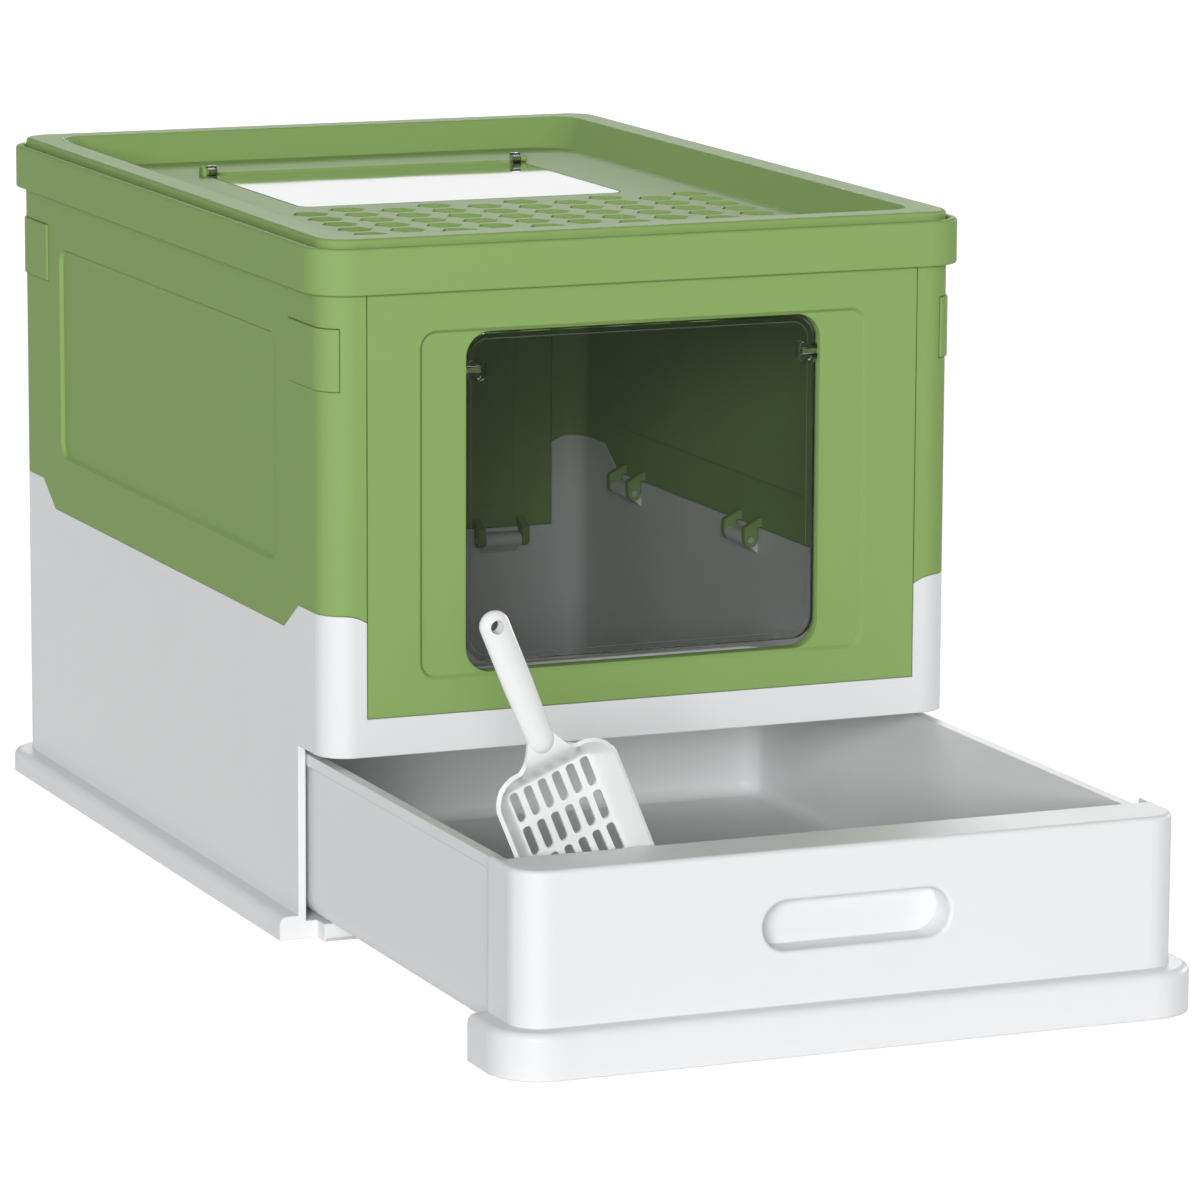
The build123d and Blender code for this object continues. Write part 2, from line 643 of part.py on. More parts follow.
# Drawer front: a hollow moulding with side returns, a plinth and a finger recess
with BuildPart() as drawer_front:
    extrude(outline(plinth_proud, front_lift, pulled=pull), amount=front_plinth_h - front_lift)
    fillet(drawer_front.edges().group_by(Axis.Z)[-1], radius=plinth_round)
    extrude(outline(0, front_lift, pulled=pull), amount=front_top - front_lift)
    fillet(drawer_front.edges().group_by(Axis.Z)[-1], radius=front_round)
    extrude(outline(-front_shell, front_lift, pulled=pull), amount=front_under - front_lift, mode=Mode.SUBTRACT)
    with BuildSketch(Plane((0, front_y, front_lift))) as keep:
        with Locations((0, -plinth_proud)):
            Rectangle(2 * width, plinth_proud + front_side, align=(Align.CENTER, Align.MIN))
    extrude(amount=front_top, mode=Mode.INTERSECT)
    with BuildSketch(Plane((0, front_y + front_ledge, front_under))) as open_top:
        Rectangle(width - 2 * front_shell, front_side, align=(Align.CENTER, Align.MIN))
    extrude(amount=front_shell, mode=Mode.SUBTRACT)
    # Stays from the front to the tray
    with BuildSketch(Plane((0, front_y + front_shell / 2, front_lift))) as stays:
        with Locations((-stay_x, 0), (stay_x, 0)):
            Rectangle(stay_t, front_t - front_shell / 2, align=(Align.CENTER, Align.MIN))
    extrude(amount=front_under - rim_h - seat_gap - front_lift)
    with BuildSketch(Plane.XZ.offset(-front_y - front_shell / 2)) as tub:
        with Locations((0, recess_z)):
            SlotOverall(recess_w + 2 * front_shell, recess_h + 2 * front_shell)
    extrude(amount=-(recess_deep + front_shell / 2))
    with BuildSketch(Plane.XZ.offset(-front_y)) as finger_recess:
        with Locations((0, recess_z)):
            SlotOverall(recess_w, recess_h)
    extrude(amount=-recess_deep, mode=Mode.SUBTRACT)
    face_edges = drawer_front.edges().filter_by(lambda e: abs(e.center().Y - front_y) < level_tol)
    fillet(face_edges.filter_by(lambda e: abs(e.center().Z - recess_z) < recess_h), radius=recess_round)
drawer_front.part.label = "drawer_front"
export_step(drawer_front.part, "parts/drawer_front.step")

# Scoop: a slotted pan with sloped sides on a rounded handle, leaning behind the drawer front
lean = radians(scoop_lean)
corner_rise = tip_r * (1 - cos(lean)) + (blade_w / 2 - tip_r) * sin(lean)
scoop_z = litter_floor + seat_gap + corner_rise
scoop_y = front_y + front_ledge + litter_foot_r - litter_t + seat_gap + blade_deep
scoop_plane = Plane((scoop_x, scoop_y, scoop_z), x_dir=(cos(lean), 0, sin(lean)), z_dir=(0, -1, 0))
rim_plane = scoop_plane.offset(blade_deep)
with BuildPart() as handle:
    with BuildSketch(rim_plane.offset(handle_proud - handle_t)) as grip:
        with Locations((0, (handle_foot + scoop_l) / 2)):
            SlotOverall(scoop_l - handle_foot, handle_w, rotation=90)
    extrude(amount=handle_t)
    fillet(handle.edges().group_by(Axis.Y)[0], radius=handle_round)
    fillet(handle.edges().group_by(Axis.Y)[-1], radius=handle_back_round)
with BuildPart() as scoop:
    with BuildSketch(rim_plane) as rim:
        with Locations((0, blade_l / 2)):
            Rectangle(blade_w, blade_l)
        with Locations((0, neck_y / 2)):
            Rectangle(neck_w, neck_y)
        corners = rim.vertices().group_by(Axis.Y)
        fillet(corners[0], radius=tip_r)
        shoulders = rim.vertices().filter_by(lambda v: abs(v.Y - blade_l) < level_tol).sort_by(Axis.X)
        fillet([shoulders[0], shoulders[-1]], radius=shoulder_r)
        flares = rim.vertices().filter_by(lambda v: abs(v.Y - blade_l) < level_tol).sort_by(lambda v: abs(v.X))
        fillet(flares[:2], radius=flare_r)
    extrude(amount=-blade_deep, taper=blade_slope)
    with BuildSketch(rim_plane) as pan:
        with Locations((0, blade_l - blade_wall)):
            RectangleRounded(blade_w - 2 * blade_wall, blade_l + blade_deep, shoulder_r - blade_wall,
                             align=(Align.CENTER, Align.MAX))
    extrude(amount=-(blade_deep - blade_t), taper=blade_slope, mode=Mode.SUBTRACT)
    with BuildSketch(scoop_plane) as slots:
        with Locations((0, slot_high - (slot_rows - 1) / 2 * slot_pitch_y)):
            with GridLocations(slot_pitch_x, slot_pitch_y, slot_columns, slot_rows):
                SlotOverall(slot_l, slot_w, rotation=90)
    extrude(amount=blade_t, mode=Mode.SUBTRACT)
    add(handle.part)
    with BuildSketch(rim_plane.offset(-blade_deep)) as hang_hole:
        with Locations((0, scoop_l - handle_w / 2)):
            Circle(hang_hole_r)
    extrude(amount=2 * blade_deep, mode=Mode.SUBTRACT)
scoop.part.label = "scoop"
export_step(scoop.part, "parts/scoop.step")
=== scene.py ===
"""Foldable litter box: finishes, modelled scoop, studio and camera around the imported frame, in metres."""
import logging
import math
from dataclasses import dataclass
from enum import Enum
from typing import Callable, ClassVar, Optional, Union

import bpy
from mathutils import Matrix, Vector


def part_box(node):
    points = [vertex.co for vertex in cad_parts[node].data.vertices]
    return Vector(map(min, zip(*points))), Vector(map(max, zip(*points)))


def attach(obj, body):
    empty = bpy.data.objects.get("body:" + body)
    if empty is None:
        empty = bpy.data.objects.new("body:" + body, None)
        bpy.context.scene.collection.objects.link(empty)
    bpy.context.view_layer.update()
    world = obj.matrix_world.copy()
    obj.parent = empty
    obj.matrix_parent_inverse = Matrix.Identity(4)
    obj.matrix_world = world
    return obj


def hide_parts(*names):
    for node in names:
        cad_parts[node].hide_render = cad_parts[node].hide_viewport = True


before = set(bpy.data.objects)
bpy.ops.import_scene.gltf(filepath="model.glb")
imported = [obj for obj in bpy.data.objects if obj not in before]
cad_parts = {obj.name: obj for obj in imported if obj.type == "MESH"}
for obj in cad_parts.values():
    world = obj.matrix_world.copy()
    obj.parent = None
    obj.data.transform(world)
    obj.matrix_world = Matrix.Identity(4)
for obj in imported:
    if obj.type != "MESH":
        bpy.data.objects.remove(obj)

logging.basicConfig(level=logging.INFO, format="%(name)s: %(message)s")
log = logging.getLogger("litter_box")

Triple = tuple[float, float, float]
Number = Union[float, "Sock"]
ORIGIN: Triple = (0.0, 0.0, 0.0)
PLASTIC_IOR = 1.49
NOISE_MEAN = 0.5
SMOOTH_BELOW = math.radians(40.0)  # edges that turn by less are shaded smooth


class Slot(Enum):
    """The record's material slots."""

    GREEN = "green_shell"
    WHITE = "white_base"
    CLEAR = "smoked_flap"
    SCOOP = "white_scoop"
    PAD = "grip_pad"
    PIN = "pin"


class Sock:
    """A shader socket that Python's operators work on: each one adds a Math node."""

    def __init__(self, tree: "ShaderTree", socket: bpy.types.NodeSocket) -> None:
        """Keep the socket and the tree that it belongs to."""
        self.tree = tree
        self.socket = socket

    def _math(self, operation: str, first: Number, second: Number) -> "Sock":
        """Add a Math node.

        Args:
            operation: the node's operation.
            first: its upper value.
            second: its lower value.

        Returns:
            The node's result.
        """
        return self.tree.node("ShaderNodeMath", {"operation": operation}, {0: first, 1: second})[0]

    def __add__(self, other: Number) -> "Sock":
        """Sum."""
        return self._math("ADD", self, other)

    def __radd__(self, other: Number) -> "Sock":
        """Sum, reflected."""
        return self._math("ADD", other, self)

    def __sub__(self, other: Number) -> "Sock":
        """Difference."""
        return self._math("SUBTRACT", self, other)

    def __rsub__(self, other: Number) -> "Sock":
        """Difference, reflected."""
        return self._math("SUBTRACT", other, self)

    def __mul__(self, other: Number) -> "Sock":
        """Product."""
        return self._math("MULTIPLY", self, other)

    def __rmul__(self, other: Number) -> "Sock":
        """Product, reflected."""
        return self._math("MULTIPLY", other, self)

    def larger(self, other: Number) -> "Sock":
        """The larger of two values."""
        return self._math("MAXIMUM", self, other)

    def clamped(self) -> "Sock":
        """The value, kept between 0 and 1."""
        return self.tree.node("ShaderNodeClamp", {}, {"Value": self})["Result"]


class Made:
    """A node just made, whose outputs are read by name or number as Sock."""

    def __init__(self, tree: "ShaderTree", node: bpy.types.Node) -> None:
        """Keep the node and its tree."""
        self.tree = tree
        self.node = node

    def __getitem__(self, key: Union[str, int]) -> Sock:
        """The output of that name or number."""
        return Sock(self.tree, self.node.outputs[key])


@dataclass(frozen=True)
class Pattern:
    """A noise pattern that a finish reads."""

    scale: float  # lumps to a metre
    detail: float  # octaves
    rough: float = 0.5  # how much of the finer octaves shows


class ShaderTree:
    """A material's node tree, or the world's, built from one method."""

    mix_share: ClassVar[int] = 0  # places of the Mix node's sockets for colours
    mix_first: ClassVar[int] = 6
    mix_second: ClassVar[int] = 7
    mix_result: ClassVar[int] = 2

    def __init__(self, owner: Union[bpy.types.Material, bpy.types.World]) -> None:
        """Empty the owner's tree.

        Args:
            owner: the material or the world.
        """
        owner.use_nodes = True
        self.owner = owner
        self.tree = owner.node_tree
        self.tree.nodes.clear()

    def node(self, kind: str, settings: dict[str, object], sockets: dict[Union[str, int], object]) -> Made:
        """Add any node.

        Args:
            kind: the node's type.
            settings: its properties, set first.
            sockets: values or links of its inputs, by name or number.

        Returns:
            The node that was made.
        """
        made = self.tree.nodes.new(kind)
        for name, value in settings.items():
            setattr(made, name, value)
        for key, value in sockets.items():
            if isinstance(value, Sock):
                self.tree.links.new(value.socket, made.inputs[key])
            else:
                made.inputs[key].default_value = value
        return Made(self, made)

    def object_coords(self) -> Sock:
        """Object coordinates, which are the part's own frame in metres."""
        return self.node("ShaderNodeTexCoord", {}, {})["Object"]

    def noise(self, where: Sock, pattern: Pattern) -> Sock:
        """A noise value.

        Args:
            where: the place that it is read at.
            pattern: its size and detail.

        Returns:
            The value, from 0 to 1 about its mean.
        """
        values = {
            "Vector": where,
            "Scale": pattern.scale,
            "Detail": pattern.detail,
            "Roughness": pattern.rough,
        }
        return self.node("ShaderNodeTexNoise", {}, values)["Fac"]

    def bump(self, height: Sock, strength: float, depth: float, under: Optional[Sock] = None) -> Sock:
        """Turn the surface's normal by a height.

        Args:
            height: the height, from 0 to 1.
            strength: how much of it shows.
            depth: the depth of a height of 1, in metres.
            under: the normal that it starts from, if not the mesh's own.

        Returns:
            The turned normal.
        """
        values = {"Strength": strength, "Distance": depth, "Height": height}
        if under is not None:
            values["Normal"] = under
        return self.node("ShaderNodeBump", {}, values)["Normal"]

    def blend(self, share: Number, first: Triple, second: Triple) -> Sock:
        """Mix two colours.

        Args:
            share: how much of the second shows.
            first: the colour at 0.
            second: the colour at 1.

        Returns:
            The mixed colour.
        """
        settings = {"data_type": "RGBA", "blend_type": "MIX"}
        values = {self.mix_share: share, self.mix_first: opaque(first), self.mix_second: opaque(second)}
        return self.node("ShaderNodeMix", settings, values)[self.mix_result]

    def surface(self, shader: Sock) -> None:
        """Send a shader to the output."""
        of_what = "World" if isinstance(self.owner, bpy.types.World) else "Material"
        self.node("ShaderNodeOutput" + of_what, {}, {"Surface": shader})


def opaque(colour: Triple) -> tuple[float, float, float, float]:
    """The colour with full alpha."""
    return (*colour, 1.0)


@dataclass(frozen=True)
class MouldedPlastic:
    """Injection-moulded plastic: a fine spark-eroded grain, faint flow in the colour, soft edges."""

    name: str
    colour: Triple
    deep: Triple  # colour where the flow is darker
    gloss: float  # mean roughness
    gloss_spread: float  # how far handling changes it
    grain: float  # depth of the grain
    grain_scale: float  # grains to a metre
    edge: float  # radius that the light rounds an edge to
    coat: float = 0.0
    shine: float = 0.25  # strength of the gloss
    coat_gloss: ClassVar[float] = 0.12
    edge_samples: ClassVar[int] = 4
    flow: ClassVar[Pattern] = Pattern(7.0, 3.0, 0.55)
    flow_share: ClassVar[float] = 0.8  # of the change in colour; the speckle has the rest
    speckle_ratio: ClassVar[float] = 0.35  # the speckle's scale to the grain's
    handling: ClassVar[Pattern] = Pattern(19.0, 4.0, 0.6)
    grain_gloss: ClassVar[float] = 0.08  # how far the grain changes the roughness
    grain_strength: ClassVar[float] = 0.5
    wave: ClassVar[Pattern] = Pattern(11.0, 1.0)  # slight unevenness of the walls
    wave_depth: ClassVar[float] = 0.0006
    wave_strength: ClassVar[float] = 0.25

    def make(self) -> bpy.types.Material:
        """Build the material.

        Returns:
            The material.
        """
        material = bpy.data.materials.new(self.name)
        tree = ShaderTree(material)
        where = tree.object_coords()
        flow = tree.noise(where, self.flow)
        speckle = tree.noise(where, Pattern(self.grain_scale * self.speckle_ratio, 2.0))
        fine = tree.noise(where, Pattern(self.grain_scale, 2.0, 0.6))
        share = flow * self.flow_share + speckle * (1.0 - self.flow_share)
        colour = tree.blend(share, self.deep, self.colour)
        handled = (tree.noise(where, self.handling) - NOISE_MEAN) * self.gloss_spread
        roughness = handled + (fine - NOISE_MEAN) * self.grain_gloss + self.gloss
        bevel = tree.node("ShaderNodeBevel", {"samples": self.edge_samples}, {"Radius": self.edge})
        waves = tree.noise(where, self.wave)
        swell = tree.bump(waves, self.wave_strength, self.wave_depth, bevel["Normal"])
        normal = tree.bump(fine, self.grain_strength, self.grain, swell)
        shader = tree.node("ShaderNodeBsdfPrincipled", {}, {
            "Base Color": colour,
            "Roughness": roughness,
            "IOR": PLASTIC_IOR,
            "Specular IOR Level": self.shine,
            "Coat Weight": self.coat,
            "Coat Roughness": self.coat_gloss,
            "Normal": normal,
        })
        tree.surface(shader["BSDF"])
        return material


@dataclass(frozen=True)
class SmokedSheet:
    """Clear smoked sheet: see-through face on, mirror-like at a low angle, with faint rub marks."""

    name: str
    smoke: Triple
    sheen: Triple  # tint of what it mirrors at a low angle
    least: float  # how much it hides, face on
    gloss: float  # mean roughness
    facing: float = 0.045  # Fresnel value below which nothing is mirrored
    mirror_gain: float = 2.5
    shine: float = 0.12  # strength of the gloss, face on
    cloud: ClassVar[Pattern] = Pattern(9.0, 3.0, 0.6)
    cloud_share: ClassVar[float] = 0.04  # how far clouding changes what it hides
    rub: ClassVar[Pattern] = Pattern(60.0, 5.0, 0.7)
    rub_gloss: ClassVar[float] = 0.05  # how far rubbing changes the roughness
    wave: ClassVar[Pattern] = Pattern(16.0, 1.0)
    wave_depth: ClassVar[float] = 0.0006
    wave_strength: ClassVar[float] = 0.12

    def make(self) -> bpy.types.Material:
        """Build the material.

        Returns:
            The material.
        """
        material = bpy.data.materials.new(self.name)
        tree = ShaderTree(material)
        where = tree.object_coords()
        fresnel = tree.node("ShaderNodeFresnel", {}, {"IOR": PLASTIC_IOR})["Fac"]
        mirror = ((fresnel - self.facing) * self.mirror_gain).clamped()
        clouding = (tree.noise(where, self.cloud) - NOISE_MEAN) * self.cloud_share
        hide = mirror * (1.0 - self.least) + clouding + self.least
        colour = tree.blend(mirror, self.smoke, self.sheen)
        roughness = (tree.noise(where, self.rub) - NOISE_MEAN) * self.rub_gloss + self.gloss
        normal = tree.bump(tree.noise(where, self.wave), self.wave_strength, self.wave_depth)
        shader = tree.node("ShaderNodeBsdfPrincipled", {}, {
            "Base Color": colour,
            "Metallic": mirror,
            "Roughness": roughness,
            "IOR": PLASTIC_IOR,
            "Specular IOR Level": self.shine,
            "Alpha": hide,
            "Normal": normal,
        })
        tree.surface(shader["BSDF"])
        return material


@dataclass(frozen=True)
class SoftPad:
    """Soft grip pad: dull, with a fine open texture, and painted shade that darkens the pits of its pores.
    """

    name: str
    colour: Triple
    deep: Triple  # painted shade: the colour at the bottom of the pores
    pore_scale: float = 700.0  # pores to a metre
    pore_depth: float = 0.0003
    pore_strength: float = 0.6
    gloss: float = 0.75  # least roughness
    gloss_spread: float = 0.2
    wear: ClassVar[Pattern] = Pattern(90.0, 3.0)

    def make(self) -> bpy.types.Material:
        """Build the material.

        Returns:
            The material.
        """
        material = bpy.data.materials.new(self.name)
        tree = ShaderTree(material)
        where = tree.object_coords()
        cells = {"Vector": where, "Scale": self.pore_scale}
        pores = tree.node("ShaderNodeTexVoronoi", {}, cells)["Distance"]
        shader = tree.node("ShaderNodeBsdfPrincipled", {}, {
            # painted shade: the colour darkens towards each pore's lowest point, where the bump is deepest
            "Base Color": tree.blend(pores, self.deep, self.colour),
            "Roughness": tree.noise(where, self.wear) * self.gloss_spread + self.gloss,
            "Normal": tree.bump(pores, self.pore_strength, self.pore_depth),
        })
        tree.surface(shader["BSDF"])
        return material


GREEN_SHELL = MouldedPlastic(
    name="green_shell_moulded", colour=(0.262, 0.405, 0.134), deep=(0.242, 0.380, 0.123),
    gloss=0.34, gloss_spread=0.10, grain=0.000003, grain_scale=1300.0, edge=0.0009, shine=0.015)
WHITE_BASE = MouldedPlastic(
    name="white_base_moulded", colour=(0.776, 0.783, 0.794), deep=(0.754, 0.762, 0.774),
    gloss=0.42, gloss_spread=0.10, grain=0.000005, grain_scale=1300.0, edge=0.0009)
WHITE_SCOOP = MouldedPlastic(
    name="white_scoop_gloss", colour=(0.785, 0.788, 0.792), deep=(0.762, 0.766, 0.771),
    gloss=0.22, gloss_spread=0.06, grain=0.00002, grain_scale=900.0, edge=0.0006, coat=0.3)
PIN_PLASTIC = MouldedPlastic(
    name="pin_plastic", colour=(0.520, 0.560, 0.520), deep=(0.480, 0.520, 0.480),
    gloss=0.30, gloss_spread=0.08, grain=0.00003, grain_scale=1800.0, edge=0.0003)
SMOKED = SmokedSheet(
    name="smoked_clear_sheet", smoke=(0.022, 0.024, 0.021), sheen=(0.80, 0.82, 0.80),
    least=0.24, gloss=0.045)
# the pad's deep colour is painted shade in its pores
GRIP_PAD = SoftPad(name="grip_pad_soft", colour=(0.62, 0.55, 0.57), deep=(0.48, 0.42, 0.44))


class Finishes:
    """The materials of the record's slots, each made once."""

    def __init__(self) -> None:
        """Make every finish."""
        self.by_slot: dict[Slot, bpy.types.Material] = {
            Slot.GREEN: GREEN_SHELL.make(),
            Slot.WHITE: WHITE_BASE.make(),
            Slot.CLEAR: SMOKED.make(),
            Slot.SCOOP: WHITE_SCOOP.make(),
            Slot.PAD: GRIP_PAD.make(),
            Slot.PIN: PIN_PLASTIC.make(),
        }

    def dress(self, piece: bpy.types.Object, slot: Slot) -> None:
        """Put a slot's material on a piece, in every place that it has.

        Args:
            piece: the object to dress.
            slot: the slot whose finish it gets.
        """
        material = self.by_slot[slot]
        if not piece.material_slots:
            piece.data.materials.append(material)
        for place in piece.material_slots:
            place.material = material


class Pick(Enum):
    """What is picked in edit mode."""

    VERTS = "VERT"
    EDGES = "EDGE"
    FACES = "FACE"


class Bench:
    """One mesh being modelled: edit-mode steps on what is picked by its place."""

    def __init__(self) -> None:
        """Take up the piece that was just added."""
        self.piece = bpy.context.object

    def pick(self, kind: Pick, test: Callable[[Vector], bool]) -> None:
        """Select vertices, edges or faces in edit mode.

        Args:
            kind: what is selected.
            test: says of a vertex, or of an edge's or a face's middle, whether it is.
        """
        mesh = self.piece.data
        bpy.ops.object.mode_set(mode="EDIT")
        bpy.ops.mesh.select_mode(type=kind.value)
        bpy.ops.mesh.select_all(action="DESELECT")
        bpy.ops.object.mode_set(mode="OBJECT")
        if kind is Pick.VERTS:
            for vertex in mesh.vertices:
                vertex.select = test(vertex.co)
        elif kind is Pick.EDGES:
            for edge in mesh.edges:
                first, second = (mesh.vertices[place].co for place in edge.vertices)
                edge.select = test((first + second) / 2)
        else:
            for face in mesh.polygons:
                face.select = test(face.center)
        bpy.ops.object.mode_set(mode="EDIT")

    def pick_all(self) -> None:
        """Select the whole mesh in edit mode."""
        self.pick(Pick.VERTS, lambda place: True)

    @staticmethod
    def extrude(step: Triple) -> None:
        """Extrude what is picked, and leave the new end picked."""
        bpy.ops.mesh.extrude_region_move(TRANSFORM_OT_translate={"value": step})

    @staticmethod
    def move(step: Triple) -> None:
        """Move what is picked."""
        bpy.ops.transform.translate(value=step)

    @staticmethod
    def drag(step: Triple, reach: float) -> None:
        """Move what is picked, and what is joined to it nearby by less.

        Args:
            step: the move.
            reach: how far along the mesh it is felt.
        """
        bpy.ops.transform.translate(value=step, use_proportional_edit=True, use_proportional_connected=True,
                                    proportional_edit_falloff="SMOOTH", proportional_size=reach)

    @staticmethod
    def resize(factors: Triple) -> None:
        """Scale what is picked about the origin."""
        bpy.ops.transform.resize(value=factors, center_override=ORIGIN)

    @staticmethod
    def turn(angle: float, axis: str, centre: Triple = ORIGIN) -> None:
        """Turn what is picked about an axis through a point."""
        bpy.ops.transform.rotate(value=angle, orient_axis=axis, center_override=centre)

    def modify(self, kind: str, settings: dict[str, object]) -> None:
        """Add a modifier and apply it.

        Args:
            kind: the modifier's type.
            settings: its properties.
        """
        bpy.ops.object.mode_set(mode="OBJECT")
        bpy.context.view_layer.objects.active = self.piece
        modifier = self.piece.modifiers.new(kind.lower(), kind)
        for name, value in settings.items():
            setattr(modifier, name, value)
        bpy.ops.object.modifier_apply(modifier=modifier.name)

    def combine(self, operation: str, other: bpy.types.Object) -> None:
        """Unite with another piece or cut it away, and delete that piece.

        Args:
            operation: the Boolean modifier's operation.
            other: the other piece.
        """
        self.modify("BOOLEAN", {"operation": operation, "object": other, "solver": "EXACT"})
        bpy.data.objects.remove(other)

    def place(self, turned: Matrix) -> None:
        """Put the finished piece where it belongs, with its place in its mesh.

        Args:
            turned: from the piece's own axes to the frame.
        """
        bpy.ops.object.mode_set(mode="OBJECT")
        bpy.ops.object.select_all(action="DESELECT")
        self.piece.select_set(True)
        bpy.context.view_layer.objects.active = self.piece
        self.piece.matrix_world = turned
        bpy.ops.object.transform_apply(location=True, rotation=True, scale=True)


@dataclass
class SubAssembly:
    """Pieces that belong together: carried-over nodes, and pieces modelled here."""

    finishes: Finishes
    nodes: ClassVar[dict[str, Slot]] = {}

    def build(self) -> None:
        """Dress the carried-over nodes."""
        for name, slot in self.nodes.items():
            self.finishes.dress(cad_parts[name], slot)
            log.info("%s dressed as %s", name, slot.value)


class BaseTub(SubAssembly):
    """The white tub with its pads and the walls' hinge pins."""

    nodes = {
        "base_shell": Slot.WHITE,
        "anti_slip_pads": Slot.PAD,
        "left_wall_pins": Slot.PIN,
        "right_wall_pins": Slot.PIN,
        "front_wall_pins": Slot.PIN,
        "back_wall_pins": Slot.PIN,
    }


class FoldingWalls(SubAssembly):
    """The four green walls and the clips at their corners."""

    nodes = {
        "left_wall": Slot.GREEN,
        "right_wall": Slot.GREEN,
        "front_wall": Slot.GREEN,
        "back_wall": Slot.GREEN,
        "clip_front_left": Slot.GREEN,
        "clip_front_right": Slot.GREEN,
        "clip_back_left": Slot.GREEN,
        "clip_back_right": Slot.GREEN,
    }


class FrontDoor(SubAssembly):
    """The clear swing door in the front wall, and its pins."""

    nodes = {"front_flap": Slot.CLEAR, "front_flap_pins": Slot.GREEN}


class Lid(SubAssembly):
    """The lid's band and dish, with the clear flap of the top exit and its pins."""

    nodes = {
        "lid_frame": Slot.GREEN,
        "lid_tray": Slot.GREEN,
        "top_flap": Slot.CLEAR,
        "top_flap_pins": Slot.GREEN,
    }


class Drawer(SubAssembly):
    """The litter drawer: its tray and its front."""

    nodes = {"drawer_tray": Slot.WHITE, "drawer_front": Slot.WHITE}


